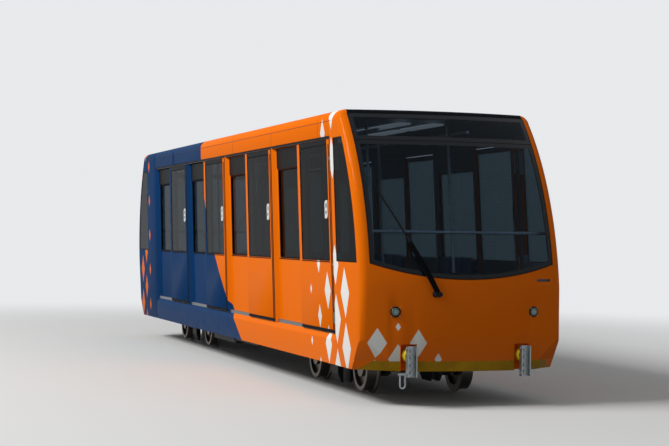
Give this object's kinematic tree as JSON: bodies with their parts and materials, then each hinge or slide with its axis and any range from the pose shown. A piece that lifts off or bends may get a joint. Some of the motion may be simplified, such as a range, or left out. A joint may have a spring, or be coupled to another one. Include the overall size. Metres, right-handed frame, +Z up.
{
  "type": "funicular car",
  "caption": "Inclined funicular car with leaning side doors that slide, bulged glazed ends and swivelling bogies.",
  "frame": {"origin": "middle of the car's bounding box in plan, at the lowest point of the wheel flanges", "axes": "+X along the track to the downhill end, +Y to the left, +Z up from the track"},
  "size_m": [12.5012, 2.18, 3.0619],
  "materials": {
    "livery_paint": "gloss two-colour livery: orange towards the downhill end, blue towards the uphill end",
    "white_paint": "satin, pale grey-white",
    "yellow_paint": "satin",
    "tinted_glass": "dark tint",
    "trim_aluminium": "brushed, clear anodised",
    "seal_rubber": "matt",
    "frame_paint": "satin black",
    "galvanised_steel": "dull grey",
    "wheel_steel": "machined treads, dull sides",
    "floor_covering": "studded, matt",
    "lamp_lens": "clear",
    "seat_shell": "dark blue-grey",
    "rail_steel": "satin stainless",
    "desk_laminate": "matt"
  },
  "bodies": {
    "car_body": {"sole_bars": "frame_paint", "headstocks": "frame_paint", "cross_members": "frame_paint", "bolsters": "frame_paint", "buffer_pads": "yellow_paint", "shackle": "galvanised_steel", "floor_deck": "floor_covering", "roof_shell": "livery_paint", "roof_hatch": "livery_paint", "ceiling_panel": "white_paint", "side_wall_right": "livery_paint", "side_wall_left": "livery_paint", "skirt_right": "livery_paint", "skirt_left": "livery_paint", "nose_front": "livery_paint", "nose_rear": "livery_paint", "valance_front": "yellow_paint", "valance_rear": "yellow_paint", "windscreen_front": "tinted_glass", "windscreen_rear": "tinted_glass", "quarter_glass": "tinted_glass", "wall_glass": "tinted_glass", "door_rails": "trim_aluminium", "door_seals": "seal_rubber", "headlamps": "lamp_lens", "wipers": "frame_paint", "buffer_brackets": "galvanised_steel", "rope_anchor": "frame_paint", "equipment_boxes": "frame_paint", "benches": "seat_shell", "grab_rails": "rail_steel", "driver_desks": "desk_laminate"},
    "bogie_front": {"bogie_front": "frame_paint", "rail_brake_front": "frame_paint"},
    "wheelset_front_1": {"wheelset_front_1": "wheel_steel"},
    "wheelset_front_2": {"wheelset_front_2": "wheel_steel"},
    "bogie_rear": {"bogie_rear": "frame_paint", "rail_brake_rear": "frame_paint"},
    "wheelset_rear_1": {"wheelset_rear_1": "wheel_steel"},
    "wheelset_rear_2": {"wheelset_rear_2": "wheel_steel"},
    "door_right_1": {"door_right_1": "livery_paint", "door_glass_right_1": "tinted_glass"},
    "door_right_2": {"door_right_2": "livery_paint", "door_glass_right_2": "tinted_glass"},
    "door_right_3": {"door_right_3": "livery_paint", "door_glass_right_3": "tinted_glass"},
    "door_right_4": {"door_right_4": "livery_paint", "door_glass_right_4": "tinted_glass"},
    "door_left_1": {"door_left_1": "livery_paint", "door_glass_left_1": "tinted_glass"},
    "door_left_2": {"door_left_2": "livery_paint", "door_glass_left_2": "tinted_glass"},
    "door_left_3": {"door_left_3": "livery_paint", "door_glass_left_3": "tinted_glass"},
    "door_left_4": {"door_left_4": "livery_paint", "door_glass_left_4": "tinted_glass"}
  },
  "joints": [
    {"name": "bogie_front_swivel", "type": "hinge", "parent": "car_body", "child": "bogie_front", "pos_m": [3.7, 0, 0.418], "axis": [0, 0, 1], "range_deg": [-4, 4]},
    {"name": "wheelset_front_1_spin", "type": "hinge", "parent": "bogie_front", "child": "wheelset_front_1", "pos_m": [4.55, 0, 0.278], "axis": [0, 1, 0], "continuous": true},
    {"name": "wheelset_front_2_spin", "type": "hinge", "parent": "bogie_front", "child": "wheelset_front_2", "pos_m": [2.85, 0, 0.278], "axis": [0, 1, 0], "continuous": true},
    {"name": "bogie_rear_swivel", "type": "hinge", "parent": "car_body", "child": "bogie_rear", "pos_m": [-3.7, 0, 0.418], "axis": [0, 0, 1], "range_deg": [-4, 4]},
    {"name": "wheelset_rear_1_spin", "type": "hinge", "parent": "bogie_rear", "child": "wheelset_rear_1", "pos_m": [-4.55, 0, 0.278], "axis": [0, 1, 0], "continuous": true},
    {"name": "wheelset_rear_2_spin", "type": "hinge", "parent": "bogie_rear", "child": "wheelset_rear_2", "pos_m": [-2.85, 0, 0.278], "axis": [0, 1, 0], "continuous": true},
    {"name": "door_right_1_slide", "type": "slide", "parent": "car_body", "child": "door_right_1", "axis": [1, 0, 0], "range_m": [-1.05, 0]},
    {"name": "door_right_2_slide", "type": "slide", "parent": "car_body", "child": "door_right_2", "axis": [1, 0, 0], "range_m": [-1.05, 0]},
    {"name": "door_right_3_slide", "type": "slide", "parent": "car_body", "child": "door_right_3", "axis": [1, 0, 0], "range_m": [-1.05, 0]},
    {"name": "door_right_4_slide", "type": "slide", "parent": "car_body", "child": "door_right_4", "axis": [1, 0, 0], "range_m": [-1.05, 0]},
    {"name": "door_left_1_slide", "type": "slide", "parent": "car_body", "child": "door_left_1", "axis": [1, 0, 0], "range_m": [-1.05, 0]},
    {"name": "door_left_2_slide", "type": "slide", "parent": "car_body", "child": "door_left_2", "axis": [1, 0, 0], "range_m": [-1.05, 0]},
    {"name": "door_left_3_slide", "type": "slide", "parent": "car_body", "child": "door_left_3", "axis": [1, 0, 0], "range_m": [-1.05, 0]},
    {"name": "door_left_4_slide", "type": "slide", "parent": "car_body", "child": "door_left_4", "axis": [1, 0, 0], "range_m": [-1.05, 0]}
  ]
}
